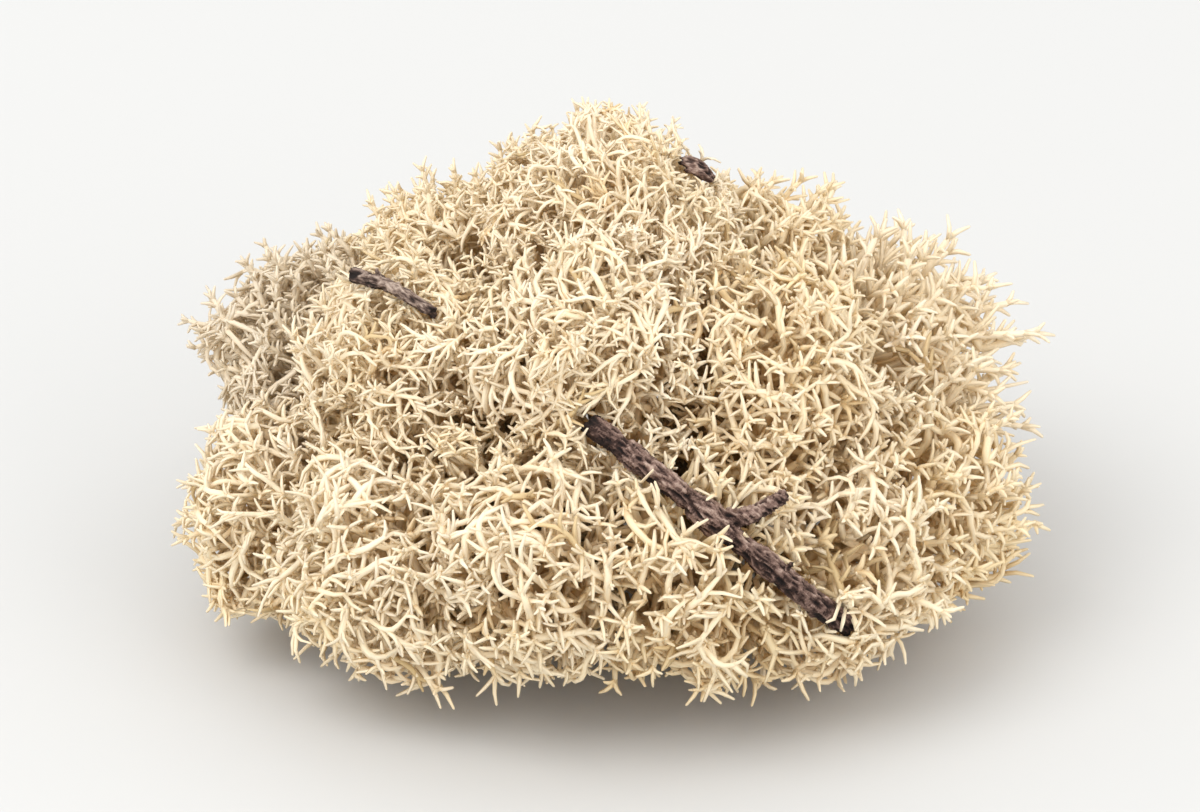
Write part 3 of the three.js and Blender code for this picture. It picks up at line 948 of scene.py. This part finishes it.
def make_short_twig(material, rng):
    """A thin twig with a knot and one short spur."""
    rings = 30
    path = smooth_path(SHORT_COURSE, rings) + LAYOUT_SHIFT
    t = np.linspace(0, 1, rings)
    radii = 0.64 - 0.16 * t + swelling(t, 0.3, 0.07, 0.14)
    spur = path[10] + unit(np.array([-0.3, 0.2, 1.0])) * np.linspace(0, 1.3, 5)[:, None]
    solids = [rod(path, radii, 14, rng), rod(spur, np.linspace(0.32, 0.15, 5), 8, rng, 0.1)]
    return bark_skin("short_twig_bark", solids, 0.12, SHORT_COURSE, material, 0.15, 0.12, 0.5)


def make_bark_chip(material, rng):
    """A curled flake of bark: strips side by side, with ragged ends."""
    strips, strip_pitch, rings = 5, 0.42, 10
    turn = Euler((0.3, 0.6, 0.4)).to_matrix()
    solids = []
    for strip in range(strips):
        from_middle = strip - strips // 2
        y = from_middle * strip_pitch
        length = 1.9 - 0.22 * abs(from_middle) + rng.uniform(-0.2, 0.2)
        x = np.linspace(-length, length, rings)
        curl = -0.1 * x**2 - 0.28 * y**2
        path = np.stack([x, np.full(rings, y) + 0.05 * x, curl], 1) @ np.array(turn).T
        radii = 0.34 * np.sqrt(np.clip(1.05 - (x / length) ** 2, 0.12, 1))
        solids.append(rod(path + BARK_CHIP + LAYOUT_SHIFT, radii, 10, rng, 0.3))
    spine = [tuple(np.array(BARK_CHIP) + turn @ Vector((x, 0, 0))) for x in (-2, 0, 2)]
    return bark_skin("bark_chip_flake", solids, 0.11, spine, material, 0.12, 0.1, 0.2)


# ---- Materials ----


def new_material(name, roughness, specular=0.5):
    material = bpy.data.materials.new(name)
    material.use_nodes = True
    tree = material.node_tree
    shader = tree.nodes["Principled BSDF"]
    shader.inputs["Roughness"].default_value = roughness
    shader.inputs["Specular IOR Level"].default_value = specular
    return material, tree, shader


def linear(r, g, b):
    """sRGB numbers from 0 to 255 as the linear colour that a socket takes."""
    share = [v / 255 for v in (r, g, b)]
    return tuple(v / 12.92 if v <= 0.04045 else ((v + 0.055) / 1.055) ** 2.4 for v in share) + (1.0,)


def colour_ramp(tree, stops):
    ramp = tree.nodes.new("ShaderNodeValToRGB")
    while len(ramp.color_ramp.elements) < len(stops):
        ramp.color_ramp.elements.new(0.5)
    for element, (place, colour) in zip(ramp.color_ramp.elements, stops):
        element.position = place
        element.color = linear(*colour)
    return ramp


def attribute(tree, name):
    node = tree.nodes.new("ShaderNodeAttribute")
    node.attribute_name = name
    return node


def grain_texture(tree, place, scale, detail):
    grain = tree.nodes.new("ShaderNodeTexNoise")
    grain.inputs["Scale"].default_value = scale
    grain.inputs["Detail"].default_value = detail
    tree.links.new(place, grain.inputs["Vector"])
    return grain


def roughen(tree, shader, grain, strength, distance):
    """Bumps the surface by a grain; `distance` is in metres."""
    bump = tree.nodes.new("ShaderNodeBump")
    bump.inputs["Strength"].default_value = strength
    bump.inputs["Distance"].default_value = distance
    tree.links.new(grain.outputs["Fac"], bump.inputs["Height"])
    tree.links.new(bump.outputs["Normal"], shader.inputs["Normal"])


def lichen_material(name, pale, warm):
    """Matte lichen: bright tips, tan branches and grey-brown stalks, by age; tint shifts it."""
    material, tree, shader = new_material(name, 0.85, 0.25)
    age, tint = attribute(tree, "age"), attribute(tree, "tint")
    mix = tree.nodes.new("ShaderNodeMix")
    mix.data_type = "RGBA"
    tree.links.new(tint.outputs["Fac"], mix.inputs["Factor"])
    for colours, socket in ((pale, "A"), (warm, "B")):
        ramp = colour_ramp(tree, [*zip(YOUNG_AGES, colours), OLD_BRANCH, DEAD_STALK])
        tree.links.new(age.outputs["Fac"], ramp.inputs["Fac"])
        tree.links.new(ramp.outputs["Color"], mix.inputs[socket])
    tree.links.new(mix.outputs["Result"], shader.inputs["Base Color"])
    place = tree.nodes.new("ShaderNodeTexCoord").outputs["Object"]
    roughen(tree, shader, grain_texture(tree, place, 4200.0, 3.0), 0.5, 0.00008)
    return material


def bark_material(name, crack, bark, wear_and_shading, peeled, grain_scale):
    """Rough bark: dark cracks, brown plates and ridges grey with wear, stretched along the twig; the skin's
    painted highlight on its upper side and painted shade on its underside and ends shift these colours.
    """
    material, tree, shader = new_material(name, 0.8, 0.3)
    place, relief_and_shading = attribute(tree, "bark").outputs["Vector"], attribute(tree, "relief_and_shading")
    grain = grain_texture(tree, place, grain_scale, 6.0)
    grain.inputs["Roughness"].default_value = 0.7
    mix = tree.nodes.new("ShaderNodeMix")
    mix.inputs["Factor"].default_value = 0.45
    tree.links.new(grain.outputs["Fac"], mix.inputs["A"])
    tree.links.new(relief_and_shading.outputs["Fac"], mix.inputs["B"])
    ramp = colour_ramp(tree, [(0.4, crack), (0.5, bark), (0.6, wear_and_shading), (0.7, peeled)])
    tree.links.new(mix.outputs["Result"], ramp.inputs["Fac"])
    tree.links.new(ramp.outputs["Color"], shader.inputs["Base Color"])
    roughen(tree, shader, grain_texture(tree, place, 9.0, 4.0), 0.8, 0.00015)
    return material


YOUNG_AGES = (0.0, 0.12, 0.3)
OLD_BRANCH = (0.65, (204, 179, 133))
DEAD_STALK = (1.0, (134, 116, 91))
# Each lichen's colours at the three young ages: where its tint is pale, and where it is warm.
LICHEN_COLOURS = {
    "cream_lichen": (
        ((248, 234, 210), (250, 236, 209), (244, 223, 186)),
        ((244, 227, 194), (246, 227, 189), (236, 209, 163)),
    ),
    "straw_lichen": (
        ((247, 232, 205), (248, 232, 199), (240, 217, 175)),
        ((242, 222, 184), (243, 220, 175), (229, 198, 147)),
    ),
    "chalky_lichen": (
        ((237, 224, 203), (238, 224, 200), (228, 211, 182)),
        ((232, 216, 189), (232, 214, 183), (220, 199, 162)),
    ),
}
LICHENS = {name: lichen_material(name, *colours) for name, colours in LICHEN_COLOURS.items()}
DARK_BARK = bark_material("dark_bark", (24, 15, 13), (60, 41, 35), (130, 104, 93), (190, 166, 151), 2.4)
GREY_BARK = bark_material("grey_bark", (31, 23, 20), (72, 55, 48), (138, 118, 106), (188, 169, 154), 4.5)


# ---- Stage, light and camera ----

CAMERA_DISTANCE = 1.535
FRAME_WIDTH = 0.112  # width of the view at the clump
VIEW_TARGET = Vector((0.0, 0.0, 0.021))
LIGHT_TARGET = Vector((0, 0, 0.02))
FLOOR_HALF = 8.0


def aim(thing, place, way):
    """Puts a light or a camera at a place and points it that way."""
    thing.location = place
    thing.rotation_mode = "QUATERNION"
    thing.rotation_quaternion = way.to_track_quat("-Z", "Y")


def make_floor():
    mesh = bpy.data.meshes.new("floor")
    corners = [(x * FLOOR_HALF, y * FLOOR_HALF, 0) for x, y in ((-1, -1), (1, -1), (1, 1), (-1, 1))]
    mesh.from_pydata(corners, [], [(0, 1, 2, 3)])
    material, _, shader = new_material("pale_floor", 0.9)
    shader.inputs["Base Color"].default_value = (0.61, 0.61, 0.6, 1.0)
    mesh.materials.append(material)
    floor = add_object("floor", mesh)


def make_light(name, place, size, power):
    light = bpy.data.lights.new(name, "AREA")
    light.shape = "DISK"
    light.size = size
    light.energy = power
    aim(add_object(name, light), Vector(place), LIGHT_TARGET - Vector(place))


def make_world(strength):
    world = bpy.data.worlds.new("studio")
    bpy.context.scene.world = world
    world.use_nodes = True
    background = world.node_tree.nodes["Background"]
    background.inputs["Color"].default_value = (1.0, 1.0, 1.0, 1.0)
    background.inputs["Strength"].default_value = strength


def make_camera():
    data = bpy.data.cameras.new("camera")
    data.sensor_width = 36.0
    data.lens = data.sensor_width * CAMERA_DISTANCE / FRAME_WIDTH
    data.clip_start, data.clip_end = 0.05, 20.0
    camera = add_object("camera", data)
    back = Vector(VIEW_BACK)
    aim(camera, VIEW_TARGET + back * CAMERA_DISTANCE, -back)
    bpy.context.scene.camera = camera


# ---- Build ----

noise.seed_set(NOISE_SEED)
slots = {row["node"]: row["material_slot"] for row in frame["record"]["subparts"]}
tips, owners = find_tips(np.random.default_rng(SEED))
pieces = {}
for index, name in enumerate(NAMES):
    own_tips = [a[owners == index] for a in tips]
    rng = np.random.default_rng(SEED + 1 + index)
    pieces[name] = grow_tuft(index, own_tips, LICHENS[slots[name]], rng)
pieces["forked_twig"] = make_forked_twig(DARK_BARK, np.random.default_rng(SEED + 40))
pieces["short_twig"] = make_short_twig(GREY_BARK, np.random.default_rng(SEED + 41))
pieces["bark_chip"] = make_bark_chip(DARK_BARK, np.random.default_rng(SEED + 42))
for name, piece in pieces.items():
    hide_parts(name)
    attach(piece, "root")

make_floor()
make_light("key", (-0.5, -0.35, 0.9), 0.8, 4.8)
make_light("fill", (0.8, -0.8, 0.6), 0.9, 2.4)
make_world(1.18)
bpy.context.scene.cycles.diffuse_bounces = 8
make_camera()
bpy.context.scene.view_settings.view_transform = "Standard"
